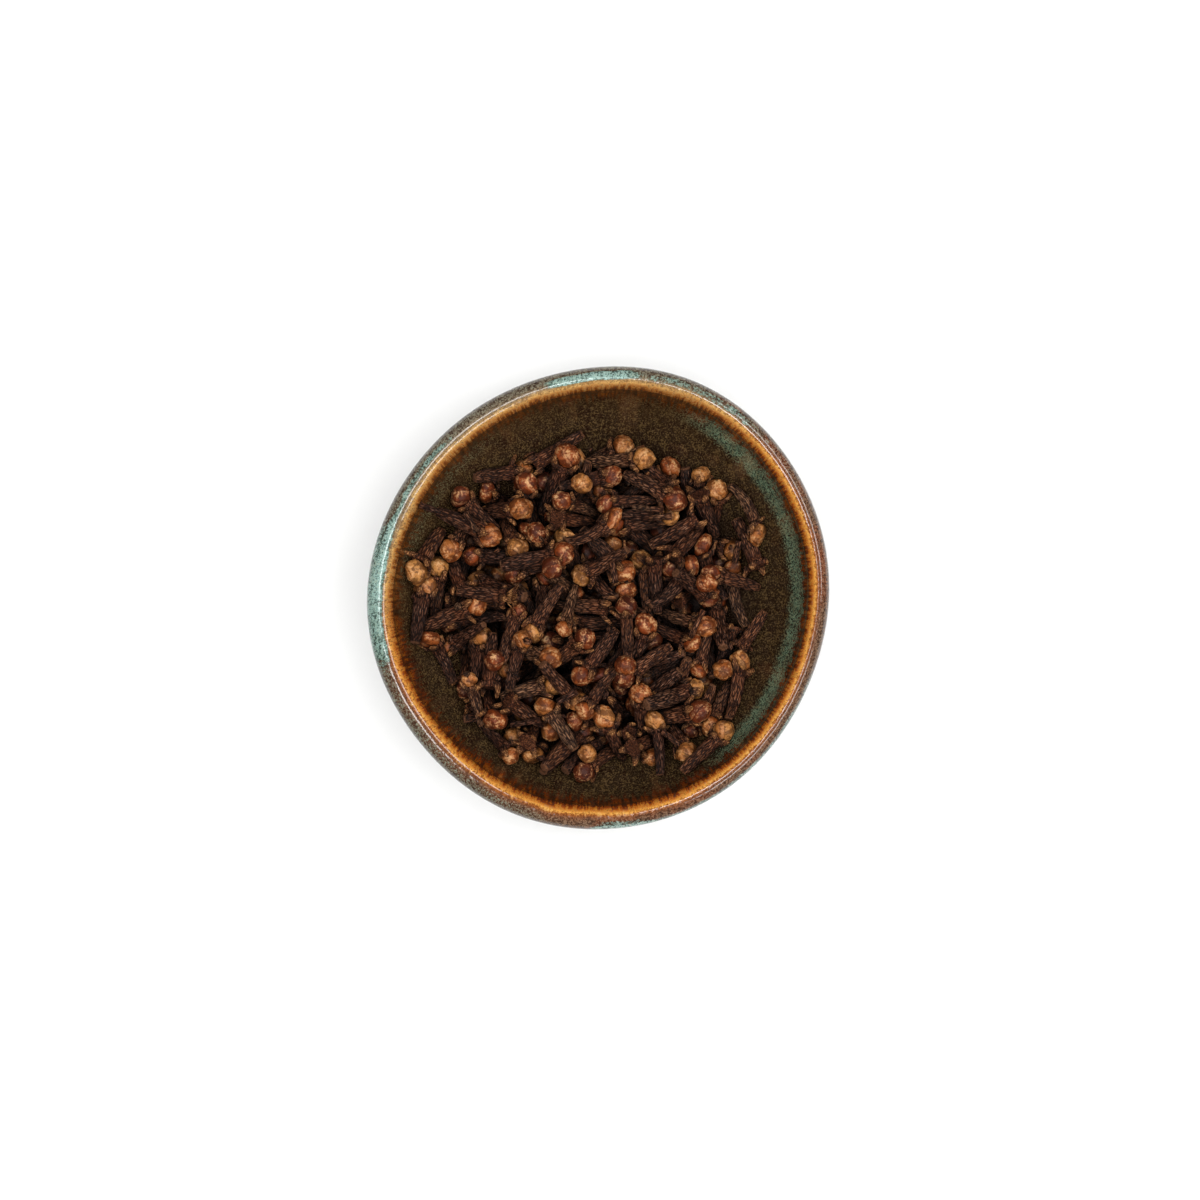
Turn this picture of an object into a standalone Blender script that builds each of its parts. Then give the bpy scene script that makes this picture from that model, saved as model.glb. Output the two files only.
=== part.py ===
"""A small hand-thrown stoneware dish heaped with whole cloves.

Two solids stand in one frame: the glazed dish, and the heap of cloves that lies in it.
Units are metres, +Z is up, and the origin is under the middle of the dish, on the table.
"""

import math
import random

import bmesh
import bpy
from mathutils import Matrix, Vector

# ---- Driving dimensions -------------------------------------------------------------------
DISH_RADIUS = 0.0440  # mean outer radius, measured over the lip
DISH_HEIGHT = 0.0360  # table to the crest of the lip
LIP_THICKNESS = 0.0045  # the wall is rounded over at the lip with half of this as its radius
FLOOR_HEIGHT = 0.0062  # table to the lowest point inside the dish
FOOT_RADIUS = 0.0235  # outer edge of the foot ring
FOOT_WIDTH = 0.0040  # flat face of the foot ring, seen from below
FOOT_HEIGHT = 0.0030  # where the wall runs out into the foot ring
FOOT_RECESS = 0.0018  # how far the underside is cut away inside the foot ring
FOOT_ROUND = 0.0006  # small rounding where the foot ring meets the table

INNER_BELLY = 1.8  # superellipse power of the inside: 2 would be a plain ellipse
OUTER_BELLY = 1.3  # superellipse power of the outside, which is straighter than the inside

# How far the potter's hands left the dish from round. Each wave of the outline is
# (waves round the rim, height of the wave as a share of the radius, direction of a crest in degrees).
OUTLINE_WAVES = ((2, 0.0155, 51.0), (3, 0.0090, 53.0), (4, 0.0024, -8.0), (6, 0.0028, 6.0))
LIP_WAVES = ((2, 0.00045, 20.0), (3, 0.00030, 80.0))  # the same for the lip's height, in metres
WALL_SHIFT = 0.0005  # the inside sits this far towards +X, so the wall is thicker at -X

HEAP_EDGE_HEIGHT = 0.0228  # table to the heap where it meets the wall
HEAP_CROWN = 0.0022  # how much higher the middle of the heap is
HEAP_TILT = 0.0012  # rise of the heap's edge towards -X -Y, where more cloves were poured
HEAP_GAP = 0.0003  # clearance between the heap and the dish
BED_RIPPLE = 0.0005  # height of the soft waves in the bed under the top cloves
BED_WAVES = 420.0  # those waves, in radians for each metre

CLOVE_STEM = 0.0098  # a clove's stem, from its cut end to its crown
CLOVE_BUD = 0.0040  # the round bud over the crown, from the crown to its top
CLOVE_CUT_RADIUS = 0.0012  # stem at its cut end
CLOVE_STEM_RADIUS = 0.0018  # stem just under the crown
CLOVE_CROWN_RADIUS = 0.0027  # tips of the four lobes
CLOVE_BUD_RADIUS = 0.0023
CLOVE_SIZES = (0.85, 1.12)  # smallest and largest clove, as a share of the sizes above
CLOVE_PITCH = 14.0  # most that a clove on the heap leans up or down, in degrees
CLOVE_RISE = (-0.0002, 0.0014)  # lowest and highest axis of a clove, over the bed that it lies on
CLOVE_SPACING = 0.0062  # least distance in plan between the middles of two cloves
CLOVE_TRIES = 1400  # random places that are tried
CLOVE_SEED = 11

# ---- Resolution ---------------------------------------------------------------------------
TURNS = 56  # facets round the dish
WALL_STEPS = 8  # points along each wall
LIP_STEPS = 6  # points over the lip
HEAP_SIDE_STEPS = 4  # points up the side of the heap
CLOVE_TURNS = 5  # facets round a clove
BED_RINGS = 4  # rings of facets on the bed under the top cloves

MERGE = 0.00001  # points closer than this are one point
COLLECTION_NAME = "dish_of_cloves"


# ---- The form of the dish -----------------------------------------------------------------
LIP_RADIUS = LIP_THICKNESS / 2
LIP_CENTRE_HEIGHT = DISH_HEIGHT - LIP_RADIUS
INNER_RADIUS = DISH_RADIUS - LIP_THICKNESS
INNER_DEPTH = LIP_CENTRE_HEIGHT - FLOOR_HEIGHT


def belly_point(turn, power):
    """A point of the unit superellipse: turn 0 is at the lip, turn 1 at the bottom."""
    angle = turn * math.pi / 2
    across = max(0.0, math.cos(angle)) ** (2 / power)
    down = math.sin(angle) ** (2 / power)
    return across, down


def inner_radius_at(height):
    """Radius of the inside of the dish at a height, before it is made uneven."""
    down = (LIP_CENTRE_HEIGHT - height) / INNER_DEPTH
    down = min(1.0, max(0.0, down))
    return INNER_RADIUS * (1 - down**INNER_BELLY) ** (1 / INNER_BELLY)


def inner_wall():
    """(radius, height) from the bottom of the inside up to the lip."""
    points = []
    for step in range(WALL_STEPS + 1):
        across, down = belly_point(1 - step / WALL_STEPS, INNER_BELLY)
        points.append((INNER_RADIUS * across, LIP_CENTRE_HEIGHT - INNER_DEPTH * down))
    return points


def lip():
    """(radius, height) over the lip, between its two ends, which the walls already hold."""
    centre = DISH_RADIUS - LIP_RADIUS
    points = []
    for step in range(1, LIP_STEPS):
        angle = math.pi * (1 - step / LIP_STEPS)
        radius = centre + LIP_RADIUS * math.cos(angle)
        points.append((radius, LIP_CENTRE_HEIGHT + LIP_RADIUS * math.sin(angle)))
    return points


def outer_wall():
    """(radius, height) from the lip down to the foot ring."""
    points = []
    for step in range(WALL_STEPS + 1):
        across, down = belly_point(step / WALL_STEPS, OUTER_BELLY)
        radius = FOOT_RADIUS + (DISH_RADIUS - FOOT_RADIUS) * across
        points.append((radius, LIP_CENTRE_HEIGHT - (LIP_CENTRE_HEIGHT - FOOT_HEIGHT) * down))
    return points


def foot_ring():
    """(radius, height) round the foot ring and in to the middle of the underside."""
    inside = FOOT_RADIUS - FOOT_WIDTH
    return [
        (FOOT_RADIUS, FOOT_ROUND),
        (FOOT_RADIUS - FOOT_ROUND, 0.0),
        (inside + FOOT_ROUND, 0.0),
        (inside, FOOT_ROUND),
        (inside - FOOT_ROUND, FOOT_RECESS),
        (0.0, FOOT_RECESS),
    ]


def wave_sum(waves, angle):
    """Sum of the waves round the dish at an angle in radians."""
    return sum(height * math.cos(count * (angle - math.radians(crest))) for count, height, crest in waves)


def uneven(point):
    """Moves a point of the true round form to where the hand-made form has it."""
    angle = math.atan2(point.y, point.x)
    radius = math.hypot(point.x, point.y)
    # The foot was trimmed round on the wheel, so the unevenness grows with height.
    share = min(1.0, max(0.0, point.z / DISH_HEIGHT))
    # 0 on the inside of the wall and 1 on its outside.
    through_wall = min(1.0, max(0.0, (radius - inner_radius_at(point.z)) / LIP_THICKNESS))
    if point.z < FLOOR_HEIGHT / 2:
        through_wall = 1.0
    scale = 1 + share * wave_sum(OUTLINE_WAVES, angle)
    shift = (1 - through_wall) * share * WALL_SHIFT
    lift = share**2 * wave_sum(LIP_WAVES, angle)
    return Vector((point.x * scale + shift, point.y * scale, point.z + lift))


# ---- Blender helpers ----------------------------------------------------------------------
def clear_scene():
    """Removes every object that the file starts with."""
    for obj in list(bpy.data.objects):
        bpy.data.objects.remove(obj, do_unlink=True)


def new_collection(name):
    """A collection of that name, linked to the scene."""
    made = bpy.data.collections.new(name)
    bpy.context.scene.collection.children.link(made)
    return made


def new_material(name, colour, roughness):
    """A Principled BSDF of one colour."""
    material = bpy.data.materials.new(name)
    material.use_nodes = True
    shader = material.node_tree.nodes["Principled BSDF"]
    shader.inputs["Base Color"].default_value = (*colour, 1.0)
    shader.inputs["Roughness"].default_value = roughness
    shader.inputs["Metallic"].default_value = 0.0
    return material


def turned(name, outline, collection, turns):
    """A turned body: the outline runs up the inside and down the outer side, and Screw spins it round Z."""
    mesh = bpy.data.meshes.new(name + "_outline")
    body = bmesh.new()
    corners = [body.verts.new((radius, 0.0, height)) for radius, height in outline]
    for first, second in zip(corners, corners[1:]):
        body.edges.new((first, second))
    body.to_mesh(mesh)
    body.free()
    obj = bpy.data.objects.new(name, mesh)
    collection.objects.link(obj)
    screw = obj.modifiers.new("Turn", "SCREW")
    screw.axis = "Z"
    screw.steps = turns
    screw.render_steps = turns
    screw.use_merge_vertices = True
    screw.merge_threshold = MERGE
    return obj


def as_mesh(obj):
    """Gives the object the mesh that its modifiers make, and removes the modifiers."""
    graph = bpy.context.evaluated_depsgraph_get()
    made = bpy.data.meshes.new_from_object(obj.evaluated_get(graph))
    obj.modifiers.clear()
    obj.data = made
    made.name = obj.name


def make_uneven(obj):
    """Moves each vertex of the round form to its hand-made place."""
    for vertex in obj.data.vertices:
        vertex.co = uneven(vertex.co)
    obj.data.update()


def shade(obj, material, sharp_degrees):
    """Smooth shading with sharp edges over an angle, and the piece's own material."""
    obj.data.materials.clear()
    obj.data.materials.append(material)
    obj.data.shade_smooth()
    obj.data.set_sharp_from_angle(angle=math.radians(sharp_degrees))


def hide_helper(obj):
    """Marks an object that only shapes another: it isn't rendered, and it shows as wire."""
    obj.hide_render = True
    obj.display_type = "WIRE"


# ---- The dish -----------------------------------------------------------------------------
def make_dish(collection):
    """The glazed dish, as one turned shell with a rounded lip and a foot ring."""
    outline = inner_wall() + lip() + outer_wall() + foot_ring()
    dish = turned("dish", outline, collection, TURNS)
    as_mesh(dish)
    make_uneven(dish)
    glaze = new_material("reactive_glaze", (0.10, 0.065, 0.035), 0.2)
    shade(dish, glaze, 50)
    return dish


# ---- The heap of cloves -------------------------------------------------------------------
def bed_height(place):
    """Height of the bed of packed cloves, under the ones that lie on top, at a place in plan."""
    share = min(1.0, place.length / inner_radius_at(HEAP_EDGE_HEIGHT))
    crown = HEAP_CROWN * (1 - share * share)
    tilt = -HEAP_TILT * (place.x + place.y) / (2 * INNER_RADIUS)
    ripple = BED_RIPPLE * math.sin(place.x * BED_WAVES) * math.sin(place.y * BED_WAVES + 1)
    return HEAP_EDGE_HEIGHT + crown + tilt + ripple


def inside_outline(top, clearance):
    """(radius, height) down the inside of the dish from a height to its bottom, less a clearance."""
    points = []
    for step in range(HEAP_SIDE_STEPS, 0, -1):
        height = FLOOR_HEIGHT + (top - FLOOR_HEIGHT) * (step / HEAP_SIDE_STEPS) ** 1.6
        points.append((inner_radius_at(height) - clearance, height + clearance))
    points.append((0.0, FLOOR_HEIGHT + clearance))
    return points


def make_bed(collection):
    """The packed cloves that don't show one by one: the inside of the dish, filled to the bed."""
    side = inside_outline(HEAP_EDGE_HEIGHT, HEAP_GAP)
    edge_radius, edge_height = side[0]
    rings = [(edge_radius * ring / BED_RINGS, edge_height) for ring in range(BED_RINGS)]
    bed = turned("cloves", rings + side, collection, TURNS)
    as_mesh(bed)
    for vertex in bed.data.vertices:
        if vertex.co.z > edge_height - MERGE:
            vertex.co.z = bed_height(vertex.co.xy)
    make_uneven(bed)
    return bed


def clove_outline():
    """(radius, height) of a clove that stands on its cut end: bud, crown, then the stem going down."""
    return [
        (0.0, CLOVE_STEM + CLOVE_BUD),
        (CLOVE_BUD_RADIUS, CLOVE_STEM + CLOVE_BUD * 0.6),
        (CLOVE_CROWN_RADIUS, CLOVE_STEM),
        (CLOVE_STEM_RADIUS, CLOVE_STEM * 0.86),
        (CLOVE_CUT_RADIUS, 0.0),
        (0.0, 0.0),
    ]


def clove_places():
    """Where the top cloves lie: each is (middle in plan, heading, pitch, rise, size)."""
    dice = random.Random(CLOVE_SEED)
    reach = inner_radius_at(HEAP_EDGE_HEIGHT) - CLOVE_STEM * 0.45
    places = []
    for _ in range(CLOVE_TRIES):
        radius = reach * math.sqrt(dice.random())
        around = dice.uniform(0, math.tau)
        middle = Vector((radius * math.cos(around), radius * math.sin(around)))
        heading = dice.uniform(0, math.tau)
        pitch = math.radians(dice.uniform(-CLOVE_PITCH, CLOVE_PITCH))
        rise = dice.uniform(*CLOVE_RISE)
        size = dice.uniform(*CLOVE_SIZES)
        if all((middle - other[0]).length > CLOVE_SPACING for other in places):
            places.append((middle, heading, pitch, rise, size))
    return places


def make_top_cloves(collection):
    """The cloves that lie on the bed, each a turned body laid on its side and turned to its heading."""
    pattern = turned("top_clove", clove_outline(), collection, CLOVE_TURNS)
    as_mesh(pattern)
    for middle, heading, pitch, rise, size in clove_places():
        lying = Matrix.Rotation(heading, 4, "Z") @ Matrix.Rotation(math.pi / 2 - pitch, 4, "Y")
        centred = Matrix.Scale(size, 4) @ Matrix.Translation((0, 0, -(CLOVE_STEM + CLOVE_BUD) / 2))
        clove = pattern.copy()
        clove.data = pattern.data.copy()
        clove.data.transform(Matrix.Translation((*middle, bed_height(middle) + rise)) @ lying @ centred)
        collection.objects.link(clove)
        hide_helper(clove)
    bpy.data.objects.remove(pattern, do_unlink=True)


def join_all(obj, collection):
    """Joins the object with every object of a collection."""
    join = obj.modifiers.new("Join", "BOOLEAN")
    join.operation = "UNION"
    join.solver = "EXACT"
    join.operand_type = "COLLECTION"
    join.collection = collection
    as_mesh(obj)


def keep_inside(obj, other):
    """Cuts away what lies outside the other object."""
    trim = obj.modifiers.new("Trim", "BOOLEAN")
    trim.operation = "INTERSECT"
    trim.solver = "EXACT"
    trim.object = other
    as_mesh(obj)


def keep_outer_skin(obj):
    """Keeps the skin that the lowest point is on, so a pocket shut in under the cloves is filled."""
    body = bmesh.new()
    body.from_mesh(obj.data)
    waiting = [min(body.verts, key=lambda vertex: vertex.co.z)]
    reached = set(waiting)
    while waiting:
        vertex = waiting.pop()
        near = {edge.other_vert(vertex) for edge in vertex.link_edges} - reached
        reached |= near
        waiting.extend(near)
    pockets = [vertex for vertex in body.verts if vertex not in reached]
    bmesh.ops.delete(body, geom=pockets, context="VERTS")
    body.to_mesh(obj.data)
    body.free()


def make_heap(collection, cutters):
    """The heap: the bed, joined with the cloves that lie on it, and kept clear of the dish."""
    heap = make_bed(collection)
    top_cloves = new_collection("top_cloves")
    make_top_cloves(top_cloves)
    join_all(heap, top_cloves)
    room_outline = [(0.0, DISH_HEIGHT)] + inside_outline(LIP_CENTRE_HEIGHT, HEAP_GAP)
    room = turned("room_in_dish", room_outline, cutters, TURNS)
    as_mesh(room)
    make_uneven(room)
    hide_helper(room)
    keep_inside(heap, room)
    keep_outer_skin(heap)
    clove_brown = new_material("clove_brown", (0.045, 0.022, 0.014), 0.7)
    shade(heap, clove_brown, 40)
    return heap


# ---- Setting the whole on its origin ------------------------------------------------------
def centre_on_origin(objects):
    """Slides the whole sideways so that the origin is under the middle of its outline."""
    corners = [vertex.co for obj in objects for vertex in obj.data.vertices]
    middle_x = (min(c.x for c in corners) + max(c.x for c in corners)) / 2
    middle_y = (min(c.y for c in corners) + max(c.y for c in corners)) / 2
    for obj in objects:
        for vertex in obj.data.vertices:
            vertex.co.x -= middle_x
            vertex.co.y -= middle_y
        obj.data.update()
    print(f"outline centred: moved by {-middle_x * 1000:.3f}, {-middle_y * 1000:.3f} mm")


def main():
    clear_scene()
    collection = new_collection(COLLECTION_NAME)
    cutters = new_collection("cutters")
    dish = make_dish(collection)
    heap = make_heap(collection, cutters)
    centre_on_origin([dish, heap])


main()
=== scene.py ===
# %% [markdown]
# # A dish of whole cloves
# A small hand-thrown stoneware dish, heaped with dried cloves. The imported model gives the
# frame: where the dish stands and how big it is. Everything here is built in that frame, in
# metres, with +Z up and the table at zero.

import math
import random

import bmesh
import bpy
import numpy as np
from mathutils import Matrix, Vector
from mathutils.bvhtree import BVHTree


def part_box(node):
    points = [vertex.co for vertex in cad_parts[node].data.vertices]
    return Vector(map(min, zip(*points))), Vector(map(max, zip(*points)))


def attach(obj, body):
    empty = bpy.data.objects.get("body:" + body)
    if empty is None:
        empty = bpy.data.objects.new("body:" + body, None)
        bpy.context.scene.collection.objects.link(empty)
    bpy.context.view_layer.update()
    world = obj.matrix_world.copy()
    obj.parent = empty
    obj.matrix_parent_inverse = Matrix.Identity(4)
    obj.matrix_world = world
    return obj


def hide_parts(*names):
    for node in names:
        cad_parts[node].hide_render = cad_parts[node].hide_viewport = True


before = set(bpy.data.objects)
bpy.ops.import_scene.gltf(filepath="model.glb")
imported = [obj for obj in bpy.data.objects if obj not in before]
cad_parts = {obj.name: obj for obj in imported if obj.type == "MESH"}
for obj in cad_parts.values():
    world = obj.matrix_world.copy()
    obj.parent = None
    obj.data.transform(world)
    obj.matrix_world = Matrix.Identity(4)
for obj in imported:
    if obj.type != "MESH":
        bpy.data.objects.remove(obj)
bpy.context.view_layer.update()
MM = 0.001
for node in ("dish", "cloves"):
    low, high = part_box(node)
    print(node, [round((b - a) / MM, 1) for a, b in zip(low, high)], "mm")

# %% [markdown]
# ## The form of the dish
# The dish was thrown on a wheel, so it starts as one outline turned round Z. The inside is a
# deep curve and the outside a straighter one. The lip is a half circle between them, and a
# short foot ring lifts the base. Then the potter's hands left it a little out of round, more
# so towards the lip. The numbers are the ones the solid was made from, so the piece fits it.

# %% The outline's sizes
DISH_RADIUS = 44.0 * MM
DISH_HEIGHT = 36.0 * MM
LIP_THICKNESS = 4.5 * MM
FLOOR_HEIGHT = 6.2 * MM
FOOT_RADIUS = 23.5 * MM
FOOT_WIDTH = 4.0 * MM
FOOT_HEIGHT = 3.0 * MM
FOOT_RECESS = 1.8 * MM
FOOT_ROUND = 0.6 * MM
INNER_BELLY = 1.8
OUTER_BELLY = 1.3
LIP_RADIUS = LIP_THICKNESS / 2
LIP_CENTRE_HEIGHT = DISH_HEIGHT - LIP_RADIUS
INNER_RADIUS = DISH_RADIUS - LIP_THICKNESS
INNER_DEPTH = LIP_CENTRE_HEIGHT - FLOOR_HEIGHT
OUTLINE_WAVES = ((2, 0.0155, 51.0), (3, 0.0090, 53.0), (4, 0.0024, -8.0), (6, 0.0028, 6.0))
LIP_WAVES = ((2, 0.00045, 20.0), (3, 0.00030, 80.0))
WALL_SHIFT = 0.5 * MM


# %% The outline, point by point
def belly(turn, power):
    """A point of a rounded belly: turn 0 is at the lip and turn 1 at the bottom."""
    angle = turn * math.pi / 2
    return max(0.0, math.cos(angle)) ** (2 / power), math.sin(angle) ** (2 / power)


def inner_radius_at(height):
    """Radius of the inside of the dish at a height."""
    down = min(1.0, max(0.0, (LIP_CENTRE_HEIGHT - height) / INNER_DEPTH))
    return INNER_RADIUS * (1 - down**INNER_BELLY) ** (1 / INNER_BELLY)


def dish_outline(steps):
    """(radius, height) up the inside, over the lip, down the outside and under the foot."""
    points = []
    for step in range(steps + 1):
        across, down = belly(1 - step / steps, INNER_BELLY)
        points.append((INNER_RADIUS * across, LIP_CENTRE_HEIGHT - INNER_DEPTH * down))
    for step in range(1, steps):
        angle = math.pi * (1 - step / steps)
        radius = DISH_RADIUS - LIP_RADIUS + LIP_RADIUS * math.cos(angle)
        points.append((radius, LIP_CENTRE_HEIGHT + LIP_RADIUS * math.sin(angle)))
    for step in range(steps + 1):
        across, down = belly(step / steps, OUTER_BELLY)
        radius = FOOT_RADIUS + (DISH_RADIUS - FOOT_RADIUS) * across
        points.append((radius, LIP_CENTRE_HEIGHT - (LIP_CENTRE_HEIGHT - FOOT_HEIGHT) * down))
    inside = FOOT_RADIUS - FOOT_WIDTH
    points += [(FOOT_RADIUS, FOOT_ROUND), (FOOT_RADIUS - FOOT_ROUND / 3, FOOT_ROUND / 3)]
    points += [(FOOT_RADIUS - FOOT_ROUND, 0.0), (inside + FOOT_ROUND, 0.0)]
    points += [(inside, FOOT_ROUND), (inside - FOOT_ROUND, FOOT_RECESS), (0.0, FOOT_RECESS)]
    return points


def wave_sum(waves, angle):
    """Sum of the waves round the dish at an angle."""
    return sum(tall * math.cos(count * (angle - math.radians(crest))) for count, tall, crest in waves)


def uneven(point):
    """Moves a point of the round form to its place in the hand-made form."""
    angle = math.atan2(point.y, point.x)
    share = min(1.0, max(0.0, point.z / DISH_HEIGHT))
    radius = math.hypot(point.x, point.y)
    through_wall = min(1.0, max(0.0, (radius - inner_radius_at(point.z)) / LIP_THICKNESS))
    if point.z < FLOOR_HEIGHT / 2:
        through_wall = 1.0
    scale = 1 + share * wave_sum(OUTLINE_WAVES, angle)
    shift = (1 - through_wall) * share * WALL_SHIFT
    lift = share**2 * wave_sum(LIP_WAVES, angle)
    return Vector((point.x * scale + shift, point.y * scale, point.z + lift))


# %% [markdown]
# ## Turning the dish
# A spin of the outline makes the whole shell, and its ends on the axis are merged shut. While
# the form is still round, each point also notes how far in from the outer edge it lies, which
# is what the glaze follows: it ran and broke in bands along the lip. The solid was centred on
# its outline after it was made uneven, so the last step lines the piece up with its box.

# %% Helpers for meshes
MERGE_GAP = 0.001 * MM


def new_piece(name, body, smooth=True):
    """An object of that name from a bmesh, with smooth shading unless told otherwise."""
    mesh = bpy.data.meshes.new(name)
    body.to_mesh(mesh)
    body.free()
    if smooth:
        mesh.shade_smooth()
    piece = bpy.data.objects.new(name, mesh)
    bpy.context.scene.collection.objects.link(piece)
    return piece


def turned(outline, turns):
    """A bmesh of the outline spun once round Z, closed where it meets the axis."""
    body = bmesh.new()
    corners = [body.verts.new((radius, 0.0, height)) for radius, height in outline]
    edges = [body.edges.new(pair) for pair in zip(corners, corners[1:])]
    bmesh.ops.spin(
        body,
        geom=corners + edges,
        cent=(0, 0, 0),
        axis=(0, 0, 1),
        angle=math.tau,
        steps=turns,
        use_merge=True,
    )
    bmesh.ops.remove_doubles(body, verts=body.verts, dist=MERGE_GAP)
    bmesh.ops.recalc_face_normals(body, faces=body.faces)
    return body


# %% The dish
OUTLINE_STEPS = 22
DISH_TURNS = 192
outline = np.array(dish_outline(OUTLINE_STEPS))
lengths = np.hypot(*np.diff(outline, axis=0).T)
run = np.concatenate([[0.0], np.cumsum(lengths)])
widest = int(np.argmax(outline[:, 0]))
run = (run[widest] - run) / MM
inset = np.where(np.arange(len(outline)) <= widest, (DISH_RADIUS - outline[:, 0]) / MM, run)
dish_body = turned([tuple(point) for point in outline], DISH_TURNS)
inset_layer = dish_body.verts.layers.float.new("inset")
run_layer = dish_body.verts.layers.float.new("run")
for vertex in dish_body.verts:
    gaps = np.hypot(outline[:, 0] - vertex.co.xy.length, outline[:, 1] - vertex.co.z)
    nearest = int(np.argmin(gaps))
    vertex[inset_layer] = inset[nearest]
    vertex[run_layer] = run[nearest]
    vertex.co = uneven(vertex.co)
across = np.array([vertex.co for vertex in dish_body.verts])
middle = (across.min(axis=0) + across.max(axis=0)) / 2
dish_shift = Vector((-middle[0], -middle[1], 0))
bmesh.ops.translate(dish_body, verts=dish_body.verts, vec=dish_shift)
dish = new_piece("glazed_dish", dish_body)
print("dish faces", len(dish.data.polygons), "moved by", [round(v / MM, 3) for v in dish_shift])
print("over the lip from", round(float(run[0]), 1), "to", round(float(run[-1]), 1), "mm of outline")

# %% [markdown]
# ## A small language for finishes
# Shader maths reads best as plain expressions. `Value` wraps the output of a node, so that
# `1 - mask * 0.5` adds the Math nodes for it. `Finish` holds one material: `node` makes any
# node, sets it and feeds it, and the rest are the few patterns that the finishes share.

# %% Arithmetic on a node's output
class Value:
    """An output of a shader node that can be used in arithmetic."""

    def __init__(self, finish, socket):
        self.finish = finish
        self.socket = socket

    def math(self, operation, *values, clamp=False):
        settings = {"operation": operation, "use_clamp": clamp}
        return self.finish.node("ShaderNodeMath", settings, dict(enumerate(values)))

    def __add__(self, other):
        return self.math("ADD", self, other)

    def __sub__(self, other):
        return self.math("SUBTRACT", self, other)

    def __rsub__(self, other):
        return self.math("SUBTRACT", other, self)

    def __mul__(self, other):
        return self.math("MULTIPLY", self, other)

    def __truediv__(self, other):
        return self.math("DIVIDE", self, other)

    def clamped(self):
        return self.math("ADD", self, 0.0, clamp=True)

    __radd__ = __add__
    __rmul__ = __mul__


# %% One material and its nodes
class Finish:
    """One material and the ways to build it."""

    def __init__(self, name):
        self.material = bpy.data.materials.new(name)
        self.material.use_nodes = True
        self.tree = self.material.node_tree
        self.shader = self.tree.nodes["Principled BSDF"]

    def feed(self, socket, value):
        """Links a value to a socket, or sets the socket to a number or colour."""
        if isinstance(value, Value):
            self.tree.links.new(value.socket, socket)
        else:
            socket.default_value = value

    def coat(self, values):
        """Feeds the shader's own sockets, by their names."""
        for name, value in values.items():
            self.feed(self.shader.inputs[name], value)

    def node(self, kind, settings=None, values=None, output=0):
        """A node of a kind: its settings first, then what its sockets hold."""
        made = self.tree.nodes.new(kind)
        for key, setting in (settings or {}).items():
            if key == "stops":
                ramp = made.color_ramp
                while len(ramp.elements) < len(setting):
                    ramp.elements.new(0.5)
                for element, (position, hue) in zip(ramp.elements, setting):
                    element.position = position
                    element.color = hue
            else:
                setattr(made, key, setting)
        for key, value in (values or {}).items():
            self.feed(made.inputs[key], value)
        return Value(self, made.outputs[output])

    def attribute(self, name, output="Fac"):
        return self.node("ShaderNodeAttribute", {"attribute_name": name}, output=output)

    def place(self):
        return self.node("ShaderNodeTexCoord", output="Object")

    def parts(self, vector):
        """The X, Y and Z of a vector."""
        made = self.node("ShaderNodeSeparateXYZ", values={0: vector})
        outputs = made.socket.node.outputs
        return [Value(self, outputs[axis]) for axis in range(3)]

    def vector(self, x, y, z):
        return self.node("ShaderNodeCombineXYZ", values={0: x, 1: y, 2: z})

    def vector_math(self, operation, first, second, output=0):
        settings = {"operation": operation}
        return self.node("ShaderNodeVectorMath", settings, {0: first, 1: second}, output)

    def noise(self, vector, scale, detail=2.0, roughness=0.5):
        values = {"Vector": vector, "Scale": scale, "Detail": detail, "Roughness": roughness}
        return self.node("ShaderNodeTexNoise", values=values)

    def step(self, value, low, high):
        """0 below low and 1 above high, with a smooth rise between. low may be above high."""
        settings = {"interpolation_type": "SMOOTHSTEP"}
        return self.node("ShaderNodeMapRange", settings, {0: value, 1: low, 2: high, 3: 0.0, 4: 1.0})

    def band(self, value, start, full, fade, end):
        """1 between full and fade, falling to 0 at start and end."""
        return self.step(value, start, full) * self.step(value, end, fade)

    def mix(self, factor, first, second):
        """A colour between the first and the second."""
        return self.node("ShaderNodeMix", {"data_type": "RGBA"}, {0: factor, 6: first, 7: second}, 2)

    def ramp(self, value, stops):
        return self.node("ShaderNodeValToRGB", {"stops": stops}, {0: value})

    def bump(self, height, distance):
        return self.node("ShaderNodeBump", values={"Distance": distance, "Height": height})


# %% Colours under this light
LIGHT_LEVEL = 1.6


def tint(red, green, blue):
    """A colour from the 0-255 levels that it should show under this scene's light."""
    shares = [level / 255 for level in (red, green, blue)]
    linear = [s / 12.92 if s <= 0.04045 else ((s + 0.055) / 1.055) ** 2.4 for s in shares]
    return (*[level / LIGHT_LEVEL for level in linear], 1.0)


# %% [markdown]
# ## The glaze
# This is a reactive glaze. Where it lies thick it is dark olive brown, with a teal band where
# it pooled below the lip. It breaks to rust and amber where it ran thin over the lip's inner
# edge, with fine streaks down the run. The outer half of the lip is a mottled taupe, with
# turquoise patches that come and go round the rim. So the colour is a ramp along the distance
# in from the edge, and masks by direction and noise lay the patches over it.

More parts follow.
